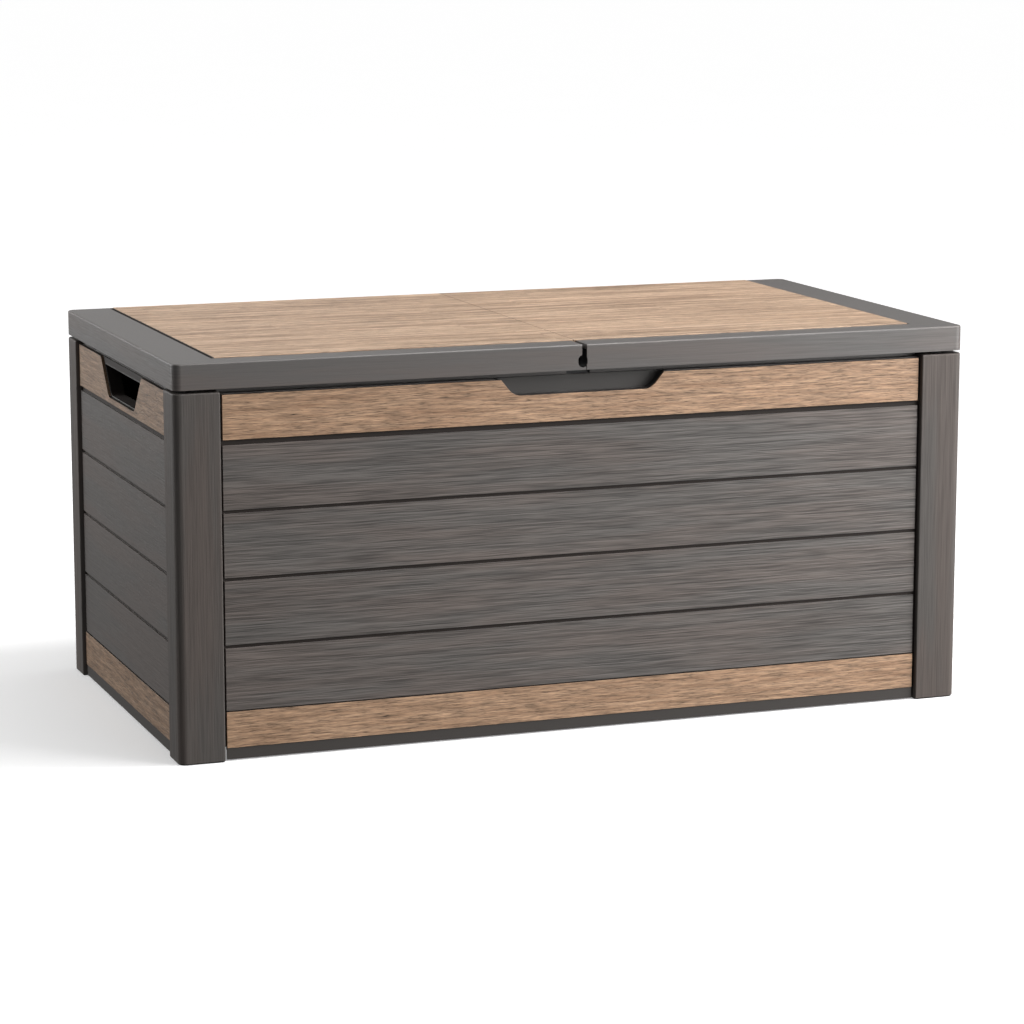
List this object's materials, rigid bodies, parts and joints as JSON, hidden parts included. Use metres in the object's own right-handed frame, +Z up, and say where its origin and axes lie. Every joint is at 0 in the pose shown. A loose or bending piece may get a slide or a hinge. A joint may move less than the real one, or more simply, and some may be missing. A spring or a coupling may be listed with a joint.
{
  "type": "deck storage box",
  "caption": "Resin deck storage box with planked walls, wood-look bands, a wood-look lid on pinned hinges with gas struts, side hand holes, a front grip and a padlock eye.",
  "frame": {"origin": "on the ground, at the middle of the box's footprint", "axes": "+X along the width, to the right seen from the front; +Y from the front to the back; +Z up; lid closed"},
  "size_m": [1.2, 0.64, 0.563],
  "materials": {
    "grey_resin": "warm grey moulded resin, finely brushed",
    "wood_look_resin": "oak-look printed and grained resin, satin",
    "black_steel": "black powder coat",
    "polished_rod": "ground and polished",
    "zinc_steel": "zinc plated, satin",
    "rubber": "matt black"
  },
  "bodies": {
    "box": {"front_wall": "grey_resin", "back_wall": "grey_resin", "left_wall": "grey_resin", "right_wall": "grey_resin", "front_left_post": "grey_resin", "front_right_post": "grey_resin", "back_left_post": "grey_resin", "back_right_post": "grey_resin", "front_rim": "grey_resin", "front_rim_bridge": "grey_resin", "back_rim": "grey_resin", "left_rim": "grey_resin", "right_rim": "grey_resin", "front_grip_pocket": "grey_resin", "left_hand_hole_frame": "grey_resin", "right_hand_hole_frame": "grey_resin", "floor_left": "grey_resin", "floor_right": "grey_resin", "floor_seam_beam": "grey_resin", "front_upper_band": "wood_look_resin", "front_lower_band": "wood_look_resin", "back_upper_band": "wood_look_resin", "back_lower_band": "wood_look_resin", "left_upper_band": "wood_look_resin", "left_lower_band": "wood_look_resin", "right_upper_band": "wood_look_resin", "right_lower_band": "wood_look_resin", "foot_plugs": "rubber", "lid_buffers": "rubber", "hinge_pins": "zinc_steel", "box_screws": "zinc_steel", "padlock_staple": "black_steel", "hinge_base_1": "black_steel", "hinge_base_2": "black_steel", "hinge_base_3": "black_steel", "hinge_base_4": "black_steel", "left_strut_post_bracket": "black_steel", "right_strut_post_bracket": "black_steel"},
    "lid": {"lid_shell_left": "grey_resin", "lid_shell_right": "grey_resin", "lid_seam_clip": "grey_resin", "lid_panel_left": "wood_look_resin", "lid_panel_right": "wood_look_resin", "lid_brace_front": "zinc_steel", "lid_brace_rear": "zinc_steel", "lid_screws": "zinc_steel", "hinge_leaf_1": "black_steel", "hinge_leaf_2": "black_steel", "hinge_leaf_3": "black_steel", "hinge_leaf_4": "black_steel", "left_strut_lid_bracket": "black_steel", "right_strut_lid_bracket": "black_steel"},
    "left_tube": {"left_strut_tube": "black_steel", "left_strut_tube_end": "black_steel"},
    "left_rod": {"left_strut_rod": "polished_rod", "left_strut_rod_end": "black_steel"},
    "right_tube": {"right_strut_tube": "black_steel", "right_strut_tube_end": "black_steel"},
    "right_rod": {"right_strut_rod": "polished_rod", "right_strut_rod_end": "black_steel"}
  },
  "joints": [
    {"name": "lid_hinge", "type": "hinge", "parent": "box", "child": "lid", "pos_m": [0, 0.3125, 0.532], "axis": [-1, 0, 0], "range_deg": [0, 85]},
    {"name": "left_tube_swing", "type": "hinge", "parent": "lid", "child": "left_tube", "pos_m": [-0.522, 0.1426, 0.53793], "axis": [-1, 0, 0], "range_deg": [-42.5, 0]},
    {"name": "left_rod_swing", "type": "hinge", "parent": "box", "child": "left_rod", "pos_m": [-0.522, 0.26564, 0.36859], "axis": [-1, 0, 0], "range_deg": [0, 42.5]},
    {"name": "right_tube_swing", "type": "hinge", "parent": "lid", "child": "right_tube", "pos_m": [0.522, 0.1426, 0.53793], "axis": [-1, 0, 0], "range_deg": [-42.5, 0]},
    {"name": "right_rod_swing", "type": "hinge", "parent": "box", "child": "right_rod", "pos_m": [0.522, 0.26564, 0.36859], "axis": [-1, 0, 0], "range_deg": [0, 42.5]}
  ],
  "couplings": [
    {"joint": "left_tube_swing", "follows": "lid_hinge", "ratio": -0.5},
    {"joint": "left_rod_swing", "follows": "lid_hinge", "ratio": 0.5},
    {"joint": "right_tube_swing", "follows": "lid_hinge", "ratio": -0.5},
    {"joint": "right_rod_swing", "follows": "lid_hinge", "ratio": 0.5}
  ]
}
